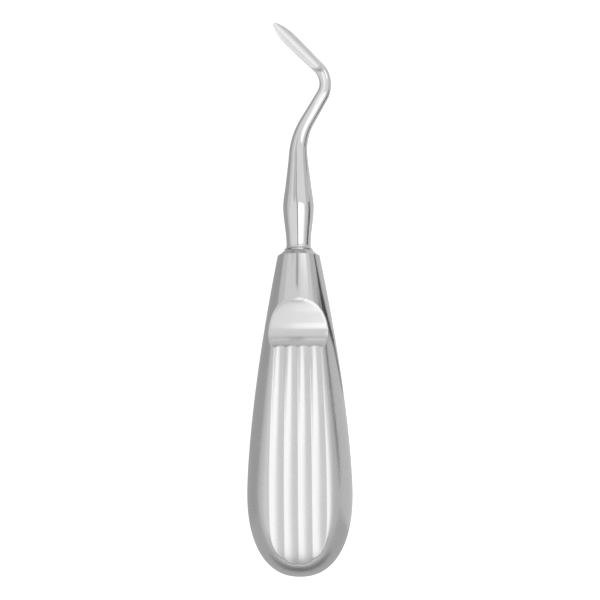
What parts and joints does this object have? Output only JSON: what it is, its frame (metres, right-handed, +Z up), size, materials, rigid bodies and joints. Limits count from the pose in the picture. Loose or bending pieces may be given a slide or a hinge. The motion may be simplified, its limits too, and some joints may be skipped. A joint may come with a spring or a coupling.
{
  "type": "dental root elevator",
  "caption": "Steel dental root elevator with a pear-shaped fluted handle, a thumb rest, and a bent shank that ends in a pointed gouge blade.",
  "frame": {"origin": "bottom centre of the bounding box, with the tool lying on its back as it comes to rest", "axes": "+Y from the butt of the handle to the working end, +X to the right when the flutes face the viewer and the blade points away, +Z up out of the flutes"},
  "size_m": [0.0264, 0.1396, 0.0244],
  "materials": {
    "handle_steel": "satin, fine grain along the handle",
    "working_end_steel": "bright polish on the shank, finer satin in the hollow of the blade"
  },
  "bodies": {
    "root": {"handle": "handle_steel", "working_end": "working_end_steel"}
  },
  "joints": []
}
